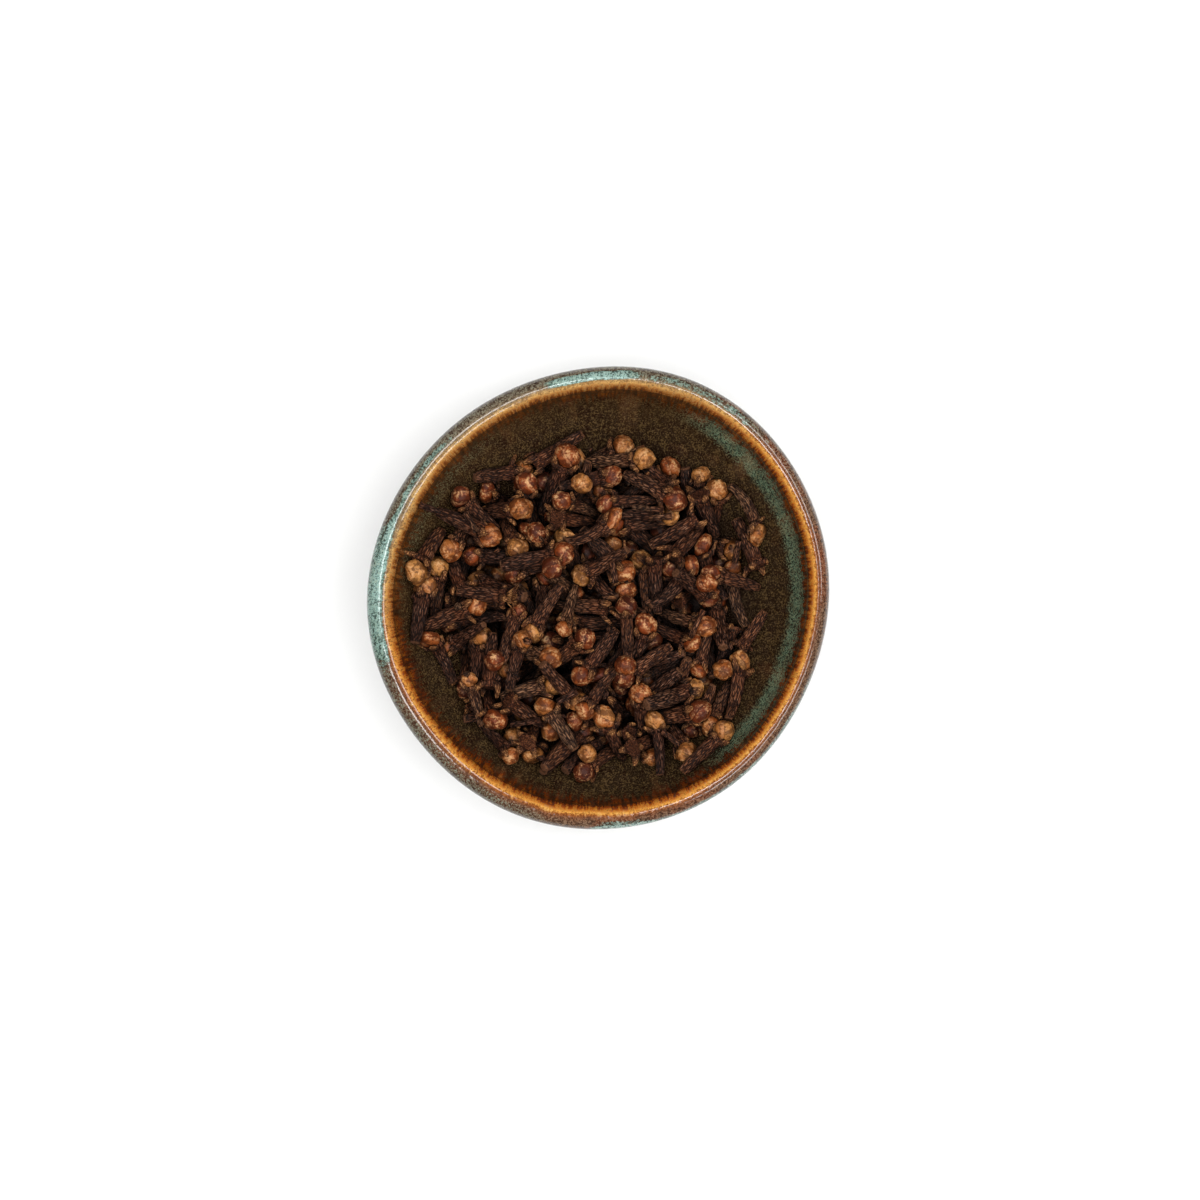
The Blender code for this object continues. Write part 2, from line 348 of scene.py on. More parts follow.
# %% Where each point of the glaze lies
glaze = Finish("reactive_glaze")
place_x, place_y, place_z = glaze.parts(glaze.place())
flat = glaze.vector(place_x, place_y, 0.0)
direction = glaze.vector_math("NORMALIZE", flat, (0, 0, 0))
toward_x, toward_y, _ = glaze.parts(direction)
inset = glaze.attribute("inset")
run = glaze.attribute("run")
RIM = DISH_RADIUS / MM
skin = glaze.vector(toward_x * RIM, toward_y * RIM, run)
drawn = glaze.vector(toward_x * RIM, toward_y * RIM, run * 0.10)
wander = glaze.noise(skin, 0.13, 2.0)
reach = inset + (wander - 0.5) * 1.1
speckle = glaze.noise(skin, 2.4, 3.0, 0.7)
fleck = glaze.noise(skin, 5.5, 2.0, 0.6)
cloud = glaze.noise(skin, 0.55, 3.0, 0.6)
patch = glaze.noise(skin, 0.26, 2.0, 0.6)
streak = glaze.noise(drawn, 1.5, 3.0, 0.6)
print("glaze patterns", len(glaze.tree.nodes), "nodes")


# %% A sector of the rim
def facing(degrees, half_width, soft):
    """1 in a sector of the rim round a direction, fading over some degrees on both sides."""
    angle = math.radians(degrees)
    aim = (math.cos(angle), math.sin(angle), 0.0)
    close = glaze.vector_math("DOT_PRODUCT", direction, aim, output="Value")
    outer = math.cos(math.radians(half_width + soft))
    return glaze.step(close, outer, math.cos(math.radians(half_width)))


# %% Colours from the edge inwards
# Each stop is millimetres in from the edge, then red, green and blue.
AMBER_STOPS = (
    (-12.0, 70, 54, 46),
    (-1.0, 88, 70, 58),
    (0.5, 112, 88, 70),
    (1.5, 118, 82, 60),
    (2.2, 132, 78, 44),
    (2.7, 174, 98, 38),
    (3.15, 255, 182, 82),
    (3.5, 224, 132, 34),
    (4.0, 172, 74, 6),
    (4.6, 116, 42, 3),
    (5.2, 66, 32, 12),
    (6.0, 50, 37, 21),
    (9.0, 49, 35, 20),
    (16.0, 34, 22, 13),
)
CREAM_STOPS = (
    (-12.0, 68, 54, 46),
    (-1.0, 86, 70, 58),
    (0.5, 108, 90, 74),
    (1.5, 122, 104, 84),
    (2.2, 142, 120, 90),
    (2.8, 176, 138, 88),
    (3.25, 226, 172, 98),
    (3.7, 190, 120, 50),
    (4.2, 144, 74, 18),
    (4.8, 104, 54, 18),
    (5.6, 74, 52, 28),
    (9.0, 52, 36, 20),
    (16.0, 34, 22, 13),
)
RAMP_LOW = -12.0
RAMP_HIGH = 16.0
grain_steps = glaze.step(speckle * 0.6 + fleck * 0.4, 0.40, 0.60) - 0.5
late_side = facing(200, 30, 30) * 0.3
fingers = glaze.step(streak * 0.75 + speckle * 0.25, 0.40, 0.60) - 0.5
inner_half = glaze.step(reach, 2.9, 4.2)
grained_reach = reach - late_side + grain_steps * (inner_half * 0.8 + 0.35) + fingers * inner_half * 1.3


def along_inset(stops):
    """A ramp with its stops given in millimetres in from the edge, each with its colour."""
    scaled = [((stop - RAMP_LOW) / (RAMP_HIGH - RAMP_LOW), tint(*levels)) for stop, *levels in stops]
    return glaze.ramp((grained_reach - RAMP_LOW) / (RAMP_HIGH - RAMP_LOW), scaled)


cream_side = facing(118, 48, 34)
colour = glaze.mix(cream_side, along_inset(AMBER_STOPS), along_inset(CREAM_STOPS))
print("glaze colours", len(AMBER_STOPS), "on the amber side and", len(CREAM_STOPS), "on the cream side")

# %% Rust on the lip and streaks down the run
# The rusty patches lie on the outer half of the lip, where iron came through.
rusty_side = (facing(28, 20, 16) + facing(222, 26, 18) * 0.3 + facing(290, 20, 16) * 0.6).clamped()
rusty_patch = glaze.step(patch * 0.6 + speckle * 0.4, 0.44, 0.56)
rusty = rusty_side * rusty_patch * glaze.band(reach, 0.2, 0.8, 1.8, 2.4)
colour = glaze.mix(rusty * 0.8, colour, tint(140, 70, 38))

# The streaks show where the glaze is thin.
thin = glaze.band(reach, 2.2, 3.0, 4.4, 5.6)
streaked = streak * 0.6 + speckle * 0.4
dark_streak = glaze.step(streaked, 0.51, 0.42) * thin
colour = glaze.mix(dark_streak * 0.25, colour, tint(132, 58, 12))
pale_streak = glaze.step(streaked, 0.52, 0.60) * glaze.band(reach, 2.3, 2.8, 3.3, 4.0)
colour = glaze.mix(pale_streak * 0.35, colour, tint(255, 208, 124))

# %% Turquoise patches
# The glaze stayed thick on parts of the outer half of the lip.
left = facing(180, 9, 15) * glaze.band(reach, -3.0, -0.6, 2.2, 3.4) * 1.1
top = facing(93, 5, 10) * glaze.band(reach, 0.7, 1.4, 2.3, 3.0) * 1.15
upper_left = facing(155, 16, 16) * glaze.band(reach, 0.8, 1.4, 1.8, 2.5) * 0.75
upper_right = facing(64, 12, 16) * glaze.band(reach, 0.6, 1.3, 2.1, 2.9) * 0.62
lower_left = facing(276, 2, 7) * glaze.band(reach, -0.4, 0.4, 1.2, 2.0) * 0.7
lower_right = facing(305, 28, 16) * glaze.band(reach, -1.2, -0.3, 0.3, 0.9) * 0.85
turquoise = left + top + upper_left + upper_right + lower_left + lower_right
grainy = cloud * 0.3 + speckle * 0.7
turquoise = turquoise + (patch - 0.5) * 0.6
outside = glaze.step(reach, -2.0, -5.0) * glaze.step(patch, 0.48, 0.60) * 0.55
turquoise = turquoise + outside
thick = glaze.step(grainy + turquoise * 0.5, 0.74, 0.88)
milky = glaze.step(grainy + turquoise * 0.2, 0.60, 0.82)
turquoise_tone = glaze.mix(milky, tint(88, 122, 110), tint(178, 220, 210))
colour = glaze.mix(thick * 0.9, colour, turquoise_tone)

# %% The teal pool and the haze on the inner wall
pool = glaze.band(reach + (cloud - 0.5) * 2.0, 4.4, 5.6, 6.4, 8.4)
pool_side = (facing(4, 46, 22) + facing(150, 14, 20) * 0.35).clamped()
teal = glaze.step(grainy + pool * pool_side * 0.16, 0.52, 0.66) * (pool * pool_side).clamped()
teal_tone = glaze.mix(glaze.step(speckle, 0.46, 0.60), tint(80, 104, 84), tint(146, 178, 144))
colour = glaze.mix(teal, colour, teal_tone)
haze = glaze.band(reach, 4.6, 5.6, 12.0, 18.0)
olive = glaze.step(speckle * 0.7 + cloud * 0.3, 0.50, 0.58) * haze
colour = glaze.mix(olive * 0.55, colour, tint(118, 92, 52))
ember = glaze.step(speckle * 0.5 + patch * 0.5, 0.48, 0.38) * haze
colour = glaze.mix(ember * 0.7, colour, tint(40, 18, 9))

# %% Specks
# They are fine, dark or pale, and stronger on the taupe outside.
on_taupe = glaze.step(reach, 2.6, 1.4)
specks = speckle * 0.6 + fleck * 0.4
dark_speck = glaze.step(specks, 0.495, 0.455)
colour = glaze.mix(dark_speck * (0.34 + on_taupe * 0.44), colour, tint(36, 20, 15))
pale_speck = glaze.step(specks, 0.515, 0.555)
mossy_side = (facing(215, 30, 18) + facing(100, 60, 25) * 0.7).clamped() * on_taupe
speck_tone = glaze.mix(mossy_side, tint(176, 146, 118), tint(144, 160, 140))
colour = glaze.mix(pale_speck * (0.10 + on_taupe * 0.34 + mossy_side * 0.3), colour, speck_tone)

# %% [markdown]
# The foot ring and the base inside it were wiped clean before the firing, so they show bare
# brown stoneware with sand in it. The glaze stops in a wavy line just above the foot.

# %% Bare clay at the foot
clay_line = place_z * 1000 + (wander - 0.5) * 1.4
bare = glaze.step(clay_line, 3.6, 3.2)
sand = glaze.noise(glaze.place(), 1400.0, 2.0, 0.6)
clay = glaze.mix(glaze.step(sand, 0.40, 0.62), tint(96, 72, 54), tint(138, 110, 86))
under_cloves = glaze.step(inset, 8.0, 10.0)
bare = bare * (1 - under_cloves)
colour = glaze.mix(bare, colour, clay)
ripple = glaze.noise(skin, 0.45, 2.0)
glaze_bump = glaze.bump(ripple + speckle * 0.03, 0.07 * MM)
roughness = 0.07 + speckle * 0.06 + bare * 0.55
glaze.coat({"Base Color": colour, "Roughness": roughness, "Normal": glaze_bump, "IOR": 1.5})
dish.data.materials.append(glaze.material)
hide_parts("dish")
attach(dish, "root")
print("glaze nodes", len(glaze.tree.nodes))

# %% [markdown]
# ## What a clove is
# A clove is a dried flower bud. Its stem is a fleshy base, dried to a slightly four-sided,
# wrinkled stick. Four small pointed lobes stand round its crown, and they hold the round
# bud, whose four petals overlap each other like a closed umbrella. Each clove here is the
# same three parts: a turned stem, a sphere for the bud and four blunt cones for the lobes.
# Seventeen of them are made, each with its own length, bend, swelling and lobes.

# %% The sizes of a clove
class Clove:
    """The sizes of one clove, in millimetres, drawn from a range by a seed."""

    def __init__(self, seed, bend=0.5, stout=1.0, length=1.0, bud=True):
        dice = random.Random(seed)
        self.dice = dice
        self.stem = dice.uniform(8.8, 10.6) * length
        self.cut = dice.uniform(0.80, 1.05) * stout
        self.middle = dice.uniform(1.12, 1.38) * stout
        self.top = dice.uniform(1.28, 1.55) * stout
        self.crown = self.top * dice.uniform(1.18, 1.36)
        self.bend = dice.uniform(0.3, 1.0) * bend * dice.choice((-1, 1))
        self.bud = dice.uniform(1.90, 2.30) * (0.5 + 0.5 * stout) if bud else 0.0
        self.square = dice.uniform(0.02, 0.06)
        self.waves = [
            (count, dice.uniform(0.015, 0.035), dice.uniform(0, math.tau), dice.uniform(-0.4, 0.4))
            for count in (2, 3, 5, 6, 7)
        ]
        self.lumps = [
            (dice.uniform(0.5, 1.8), dice.uniform(0.015, 0.04), dice.uniform(0, math.tau))
            for _ in range(3)
        ]
        self.total = self.stem + self.bud * 1.6

    def bent(self, point):
        """Bends the clove about its middle, and puts that middle at the origin."""
        share = point.z / self.stem - 0.5
        aside = self.bend * (share * share - 0.08) * 2
        return Vector((point.x + aside, point.y, point.z - self.total / 2))

    def wrinkled(self, point):
        """The four-sided, wrinkled section of the stem."""
        angle = math.atan2(point.y, point.x)
        swell = 1 + self.square * math.cos(4 * angle)
        for count, tall, start, twist in self.waves:
            swell += tall * math.cos(count * angle + start + twist * point.z)
        for rate, tall, start in self.lumps:
            swell += tall * math.sin(rate * point.z + start)
        return Vector((point.x * swell, point.y * swell, point.z))


# %% The stem
STEM_SIDES = 18
STEM_RINGS = 11


def stem_outline(clove):
    """(radius, height) from the middle of the cut end up to the middle of the crown."""
    points = [(0.0, 0.12), (clove.cut * 0.62, 0.05), (clove.cut * 0.93, 0.12)]
    for ring in range(1, STEM_RINGS):
        share = ring / STEM_RINGS
        ease = share * share * (3 - 2 * share)
        low = clove.cut + (clove.middle - clove.cut) * min(1.0, share * 2.2)
        points.append((low + (clove.top - low) * ease, clove.stem * (0.02 + 0.90 * share)))
    points.append((clove.crown, clove.stem * 0.97))
    points.append((clove.crown * 0.92, clove.stem))
    points.append((clove.crown * 0.60, clove.stem - 0.25))
    points.append((0.0, clove.stem - 0.35))
    return points


def add_marks(body):
    """The layers that the finish reads: the clove's own place, its bud and its lobes' tips."""
    own = body.verts.layers.float_vector.new("own")
    bud = body.verts.layers.float.new("bud")
    tip = body.verts.layers.float.new("tip")
    return own, bud, tip


def stem_part(clove):
    """The stem, from the cut end up to the hollow of the crown."""
    body = turned(stem_outline(clove), STEM_SIDES)
    own, _, _ = add_marks(body)
    for vertex in body.verts:
        vertex.co = clove.wrinkled(vertex.co)
        vertex[own] = vertex.co
    return body


# %% The bud and the lobes
def bud_part(clove):
    """The round bud: a sphere with four petals that overlap in a swirl, a little drawn up."""
    body = bmesh.new()
    own, bud_mark, _ = add_marks(body)
    bmesh.ops.create_uvsphere(body, u_segments=20, v_segments=10, radius=1.0)
    dice = clove.dice
    swirl = dice.uniform(0.4, 1.0)
    start = dice.uniform(0, 1)
    flat_share = dice.uniform(0.82, 1.02)
    dent_angle = dice.uniform(0, math.tau)
    dent = dice.uniform(0.02, 0.08)
    lean = Vector((dice.uniform(-0.25, 0.25), dice.uniform(-0.25, 0.25), 0))
    for vertex in body.verts:
        angle = math.atan2(vertex.co.y, vertex.co.x)
        petal = (angle / math.tau * 4 + swirl * vertex.co.z + start) % 1.0
        ridge = 1 + 0.15 * (petal - 0.5) * (1 - vertex.co.z**4)
        ridge += 0.05 * math.cos(2 * angle + dent_angle) + 0.03 * math.cos(4 * angle + dent_angle)
        ridge += dent * math.cos(2.2 * vertex.co.z + dent_angle) * math.cos(angle - dent_angle)
        peak = 1 + 0.10 * max(0.0, vertex.co.z) ** 6
        vertex[own] = vertex.co
        vertex[bud_mark] = 1.0
        place = vertex.co * ridge * clove.bud
        place.z = place.z * flat_share * peak + clove.stem + clove.bud * 0.66
        vertex.co = place + lean
    return body


def lobe_part(clove, quarter, broken):
    """One of the four lobes round the crown: a blunt, fleshy cone that cups the bud."""
    dice = clove.dice
    length = dice.uniform(2.0, 2.7) * (0.5 if broken else 1.0)
    body = bmesh.new()
    own, _, tip_mark = add_marks(body)
    bmesh.ops.create_cone(body, cap_ends=True, segments=6, radius1=1.0, radius2=1.0, depth=2.0)
    sides = [edge for edge in body.edges if abs(edge.verts[0].co.z - edge.verts[1].co.z) > 0.5]
    bmesh.ops.subdivide_edges(body, edges=sides, cuts=2)
    open_angle = math.radians(dice.uniform(24, 62))
    curl = dice.uniform(-0.7, 0.5)
    turn = math.radians(quarter * 90 + dice.uniform(-10, 10))
    wide = dice.uniform(1.00, 1.25)
    for vertex in body.verts:
        share = vertex.co.z / 2 + 0.5
        thick = 0.62 * (1 - 0.50 * share)
        half_width = wide * (1 - 0.72 * share**1.5)
        place = Vector((vertex.co.x * thick, vertex.co.y * half_width, share * length))
        place.x += curl * share * share
        place.rotate(Matrix.Rotation(open_angle, 3, "Y"))
        place += Vector((clove.crown * 0.84, 0, clove.stem - 0.9))
        place.rotate(Matrix.Rotation(turn, 3, "Z"))
        vertex[own] = place
        vertex[tip_mark] = 0.12 + 0.88 * share
        vertex.co = place
    return body


# %% A whole clove
BROKEN_LOBES = 0.15


def take_in(whole, part):
    """Adds a bmesh to another one and frees it."""
    mesh = bpy.data.meshes.new("part")
    part.to_mesh(mesh)
    part.free()
    whole.from_mesh(mesh)
    bpy.data.meshes.remove(mesh)


def finished_mesh(name, body):
    """A smooth mesh from a bmesh, with its faces outwards."""
    bmesh.ops.recalc_face_normals(body, faces=body.faces)
    mesh = bpy.data.meshes.new(name)
    body.to_mesh(mesh)
    body.free()
    mesh.shade_smooth()
    return mesh


def clove_mesh(name, clove):
    """One whole clove as a mesh, with its middle at the origin and its length along Z."""
    parts = [stem_part(clove)]
    if clove.bud:
        parts.append(bud_part(clove))
    for quarter in range(4):
        parts.append(lobe_part(clove, quarter, clove.dice.random() < BROKEN_LOBES))
    whole = bmesh.new()
    for part in parts:
        take_in(whole, part)
    for vertex in whole.verts:
        vertex.co = clove.bent(vertex.co) * MM
    return finished_mesh(name, whole)


# %% [markdown]
# The kinds differ the way a handful from a jar does: most are plain, some are stout or
# slender, a few have dried bent, and some have lost the bud and show an open crown.

# %% The kinds of clove
KINDS = {
    "plain_cloves": [Clove(seed, bend=0.5) for seed in (11, 12, 13, 14)],
    "stout_cloves": [Clove(seed, bend=0.4, stout=1.14, length=0.97) for seed in (21, 22, 23)],
    "slender_cloves": [Clove(seed, bend=0.8, stout=0.84, length=1.02) for seed in (31, 32, 33)],
    "bent_cloves": [Clove(seed, bend=2.6, stout=0.94, length=1.04) for seed in (41, 42, 43)],
    "open_cloves": [Clove(seed, bend=0.7, length=1.02, bud=False) for seed in (51, 52, 53, 54)],
}
SHARES = {"plain_cloves": 66, "stout_cloves": 40, "slender_cloves": 36, "bent_cloves": 26, "open_cloves": 34}
patterns = {
    kind: [clove_mesh(f"{kind}_{number}", clove) for number, clove in enumerate(cloves)]
    for kind, cloves in KINDS.items()
}
print("faces of a clove", len(patterns["plain_cloves"][0].polygons))

# %% [markdown]
# ## Pouring the cloves
# A heap looks right when it fell that way, so the cloves are poured: rigid bodies drop into
# the dish and settle under gravity. Three things keep it quick and steady. Each clove falls
# as a plain hull of eight sides. The lower half of the heap is a ready core that stands
# still. And the pour is worked out a hundred times larger than life, because the solver's
# tolerances are made for things of that size. Gravity is a tenth of what that size asks for,
# so the cloves land softly. The walls are carried up as a tube, so nothing falls over the
# lip. The dice have a seed, so every run pours the same heap.

# %% The things that fall
POUR_SCALE = 100.0
HULL_SIDES = 8


def hull_outline(clove):
    """(radius, height) of the plain hull that falls in a clove's place."""
    points = [(0.0, 0.0), (clove.cut * 0.95, 0.0), (clove.middle, clove.stem * 0.5)]
    points.append((clove.crown, clove.stem))
    if clove.bud:
        points.append((clove.bud * 0.96, clove.stem + clove.bud * 0.8))
        points.append((clove.bud * 0.6, clove.stem + clove.bud * 1.5))
    points.append((0.0, clove.total + 0.02))
    return points


def rank(spot):
    """One number that orders points by height, then by depth, then by width."""
    return round(spot.z, 4) * 1e8 + round(spot.y, 4) * 1e4 + round(spot.x, 4)


def in_order(body):
    """Puts the points and faces of a bmesh in an order that is the same on every run."""
    body.verts.sort(key=lambda vertex: rank(vertex.co))
    body.faces.sort(key=lambda face: rank(face.calc_center_median()))


def faller(name, clove):
    """A hull for the pour, bent as its clove is."""
    body = turned(hull_outline(clove), HULL_SIDES)
    for vertex in body.verts:
        vertex.co = clove.bent(vertex.co) * MM * POUR_SCALE
    in_order(body)
    return new_piece(name, body, smooth=False)


# %% The things that stand still
CORE_HEIGHT = 13.5 * MM
CORE_SWELL = 1.5
TUBE_HEIGHT = 160 * MM


def core_height(share):
    """Height of the still core under the poured cloves, at a share of its radius."""
    return CORE_HEIGHT + CORE_SWELL * MM * (1 - share * share)


def core_outline(rings=8):
    """(radius, height) over the core, from the middle to the wall."""
    edge = inner_radius_at(CORE_HEIGHT)
    return [(edge * ring / rings, core_height(ring / rings)) for ring in range(rings + 1)]


def still_outline():
    """(radius, height) of all that stands still: the core, the wall over it, and the tube."""
    steps = 8
    wall = []
    for step in range(1, steps + 1):
        height = CORE_HEIGHT + (LIP_CENTRE_HEIGHT - CORE_HEIGHT) * step / steps
        wall.append((inner_radius_at(height), height))
    return core_outline() + wall + [(INNER_RADIUS, TUBE_HEIGHT)]


# %% Contact between the things of the pour
CLOVE_FRICTION = 0.95
DISH_FRICTION = 0.7
CONTACT_MARGIN = 0.005
STILL_TURNS = 48


def choose(objects):
    """Selects just these objects, for an operator."""
    bpy.ops.object.select_all(action="DESELECT")
    for chosen in objects:
        chosen.select_set(True)
    bpy.context.view_layer.objects.active = objects[0]


def set_contact(body, shape, friction):
    """How a body of the pour touches the others."""
    settings = body.rigid_body
    settings.collision_shape = shape
    settings.friction = friction
    settings.use_margin = True
    settings.collision_margin = CONTACT_MARGIN
    return settings


def stand_still():
    """The core, the wall and the tube, as one body that doesn't move."""
    body = turned(still_outline(), STILL_TURNS)
    for vertex in body.verts:
        vertex.co = (uneven(vertex.co) + dish_shift) * POUR_SCALE
    in_order(body)
    still = new_piece("still", body, smooth=False)
    choose([still])
    bpy.ops.rigidbody.objects_add(type="PASSIVE")
    set_contact(still, "MESH", DISH_FRICTION)
    return still


# %% Cloves in the air
# Sizes are in millimetres. The pour is aimed a little to the left and front of the middle.
DROP_RADIUS = 24
DROP_HEIGHT = 34
DROP_GAP = 6.5
DROPPED_AT_ONCE = 16
AIM_LEFT = 3.0
AIM_FRONT = 4.5


def hang_up(order, seed):
    """A hull for each clove in the order given, hung in layers over the dish at any turn."""
    dice = random.Random(seed)
    hulls = {id(clove): faller("hull", clove) for cloves in KINDS.values() for clove in cloves}
    falling = []
    for number, (_, clove, size) in enumerate(order):
        body = hulls[id(clove)].copy()
        bpy.context.scene.collection.objects.link(body)
        around = dice.uniform(0, math.tau)
        out = math.sqrt(dice.random()) * DROP_RADIUS * MM
        x = out * math.cos(around) - AIM_LEFT * MM
        y = out * math.sin(around) - AIM_FRONT * MM
        height = (DROP_HEIGHT + DROP_GAP * (number // DROPPED_AT_ONCE)) * MM
        lean = math.acos(dice.uniform(-0.8, 0.8))
        turn = Matrix.Rotation(dice.uniform(0, math.tau), 4, "Z") @ Matrix.Rotation(lean, 4, "X")
        roll = Matrix.Rotation(dice.uniform(0, math.tau), 4, "Z")
        spot = Matrix.Translation(Vector((x, y, height)) * POUR_SCALE)
        body.matrix_world = spot @ turn @ roll @ Matrix.Scale(size, 4)
        falling.append(body)
    for hull in hulls.values():
        bpy.data.objects.remove(hull, do_unlink=True)
    choose(falling)
    bpy.ops.rigidbody.objects_add(type="ACTIVE")
    for body in falling:
        settings = set_contact(body, "CONVEX_HULL", CLOVE_FRICTION)
        settings.restitution = 0.0
        settings.linear_damping = 0.1
        settings.angular_damping = 0.3
    return falling


# %% Letting them fall
POUR_GRAVITY = 98.1
POUR_FRAMES = 110
SUBSTEPS = 14
SOLVER_STEPS = 24


def pour(order, seed):
    """Drops the cloves in the order given and returns where each comes to rest."""
    scene = bpy.context.scene
    bpy.ops.rigidbody.world_add()
    world = scene.rigidbody_world
    world.substeps_per_frame = SUBSTEPS
    world.solver_iterations = SOLVER_STEPS
    world.point_cache.frame_end = POUR_FRAMES
    scene.gravity = (0, 0, -POUR_GRAVITY)
    still = stand_still()
    falling = hang_up(order, seed)
    for frame_number in range(1, POUR_FRAMES + 1):
        scene.frame_set(frame_number)
    graph = bpy.context.evaluated_depsgraph_get()
    rests = [body.evaluated_get(graph).matrix_world.copy() for body in falling]
    bpy.ops.rigidbody.world_remove()
    for body in falling + [still]:
        bpy.data.objects.remove(body, do_unlink=True)
    scene.frame_set(1)
    placed = []
    for rest in rests:
        spot, turn, size = rest.decompose()
        placed.append(Matrix.LocRotScale(spot / POUR_SCALE, turn, size))
    return placed


# %% The pour
def in_the_dish(rest):
    """True where a clove came to rest inside the dish and over the core."""
    return rest.translation.xy.length < INNER_RADIUS and rest.translation.z > CORE_HEIGHT


dice = random.Random(5)
order = []
for kind, share in SHARES.items():
    for number in range(share):
        clove = KINDS[kind][number % len(KINDS[kind])]
        order.append((kind, clove, dice.uniform(0.90, 1.08)))
dice.shuffle(order)
rests = pour(order, 3)
order = [entry for entry, rest in zip(order, rests) if in_the_dish(rest)]
rests = [rest for rest in rests if in_the_dish(rest)]
heights = [rest.translation.z / MM for rest in rests]
print("poured", len(rests), "cloves, centres", round(min(heights), 1), "to", round(max(heights), 1), "mm up")
print("mean height", round(sum(heights) / len(heights), 4))

# %% [markdown]
# ## One piece for each kind
# Each kind of clove is joined into one mesh. The marks that the finish reads go along, and
# each clove gets a number of its own, which gives it its own shade of brown.

# %% Joining the cloves
def joined(name, parts, seed):
    """One piece from (mesh, matrix) pairs, with a mark of each one's own shade."""
    body = bmesh.new()
    shades = []
    tones = random.Random(seed)
    for mesh, matrix in parts:
        copy = mesh.copy()
        copy.transform(matrix)
        body.from_mesh(copy)
        shades += [tones.random()] * len(mesh.vertices)
        bpy.data.meshes.remove(copy)
    piece = new_piece(name, body)
    shade = piece.data.attributes.new("shade", "FLOAT", "POINT")
    shade.data.foreach_set("value", shades)
    return piece


clove_pieces = []
for kind, cloves in KINDS.items():
    mesh_of = {id(clove): mesh for clove, mesh in zip(cloves, patterns[kind])}
    parts = [(mesh_of[id(c)], rest) for (k, c, _), rest in zip(order, rests) if k == kind]
    clove_pieces.append(joined(kind, parts, len(kind)))
    print(kind, len(parts), "cloves", len(clove_pieces[-1].data.polygons), "faces")

# %% [markdown]
# ## What lies loose on top
# A handful of cloves always has some bits in it: stalks that broke off, some of them forked,
# round buds that lost their stems, crumbs, and here one flower that opened before it dried.
# These are laid on the heap one by one. A ray goes down from each point of a bit to find the
# heap under it, and the bit comes down until it touches, and then a little further.

# %% Broken stalks
# The finish of a clove goes by the place along its stem, so the bits take one from its middle.
MID_STEM = Vector((0, 0, 3))


def finished_bit(name, body, length):
    """A mesh of a small bit with its middle at the origin, in metres."""
    for vertex in body.verts:
        vertex.co = (vertex.co - Vector((0, 0, length / 2))) * MM
    return finished_mesh(name, body)


def twig(seed, length, thick, fork):
    """A bit of stalk, a little crooked; with a fork, a second stalk leaves it at an angle."""
    dice = random.Random(seed)
    whole = bmesh.new()
    for branch in range(2 if fork else 1):
        tall = length * (1.0 if branch == 0 else dice.uniform(0.45, 0.65))
        outline = [(0.0, 0.0), (thick, 0.05)]
        outline += [(thick * dice.uniform(0.85, 1.1), tall * fifth / 5) for fifth in range(1, 5)]
        outline += [(thick * 1.15, tall - 0.05), (0.0, tall)]
        body = turned(outline, 8)
        own, _, _ = add_marks(body)
        crook = dice.uniform(-0.10, 0.10)
        for vertex in body.verts:
            vertex[own] = vertex.co + MID_STEM
            vertex.co.x += crook * vertex.co.z**2 / 2
            if branch:
                vertex.co.rotate(Matrix.Rotation(math.radians(38), 3, "Y"))
                vertex.co.z += length * 0.42
        take_in(whole, body)
    return finished_bit("twig", whole, length)


# %% Loose buds and crumbs
def loose_bud(seed):
    """A bud without its stem."""
    clove = Clove(seed, bend=0.0)
    clove.stem = 0.01
    return finished_bit("loose_bud", bud_part(clove), clove.bud * 1.3)


def crumb(seed, size):
    """A crumb of broken clove: a small sphere knocked out of shape."""
    dice = random.Random(seed)
    body = bmesh.new()
    own, _, _ = add_marks(body)
    bmesh.ops.create_icosphere(body, subdivisions=1, radius=size)
    stretch = Vector((dice.uniform(0.5, 0.9), dice.uniform(0.6, 1.2), dice.uniform(0.9, 1.7)))
    for vertex in body.verts:
        vertex[own] = vertex.co + MID_STEM
        vertex.co *= dice.uniform(0.75, 1.2)
        vertex.co = vertex.co * stretch
    return finished_bit("crumb", body, 0.0)


# %% The threads of an open flower
def thread_outline(length):
    """(radius, height) of one thread, before it leans and curls."""
    middle = [(0.13, length * sixth / 6) for sixth in range(1, 7)]
    return [(0.0, 0.0), (0.15, 0.02)] + middle + [(0.0, length)]


def stamens(clove, count, seed):
    """The curly threads of an open flower, each a thin tube that leans out and curls over."""
    dice = random.Random(seed)
    whole = bmesh.new()
    for _ in range(count):
        length = dice.uniform(3.0, 5.0)
        body = turned(thread_outline(length), 5)
        own, _, tip_mark = add_marks(body)
        lean, curl = dice.uniform(0.1, 1.0), dice.uniform(-0.5, 0.5)
        around = dice.uniform(0, math.tau)
        for vertex in body.verts:
            up = vertex.co.z
            vertex[own] = vertex.co + MID_STEM
            vertex[tip_mark] = 1.0
            vertex.co.x += 0.5 + lean * up - 0.06 * up * up
            vertex.co.y += curl * up * up * 0.35
            vertex.co.z = clove.stem - 0.3 + up - 0.10 * up * up
            vertex.co.rotate(Matrix.Rotation(around, 3, "Z"))
        take_in(whole, body)
    return finished_bit("stamens", whole, clove.total)


# %% Finding the heap under a bit
def tree_of(pieces):
    """A search tree of the faces of some pieces."""
    body = bmesh.new()
    for piece in pieces:
        body.from_mesh(piece.data)
    tree = BVHTree.FromBMesh(body)
    body.free()
    return tree


under_bits = tree_of([dish] + clove_pieces)


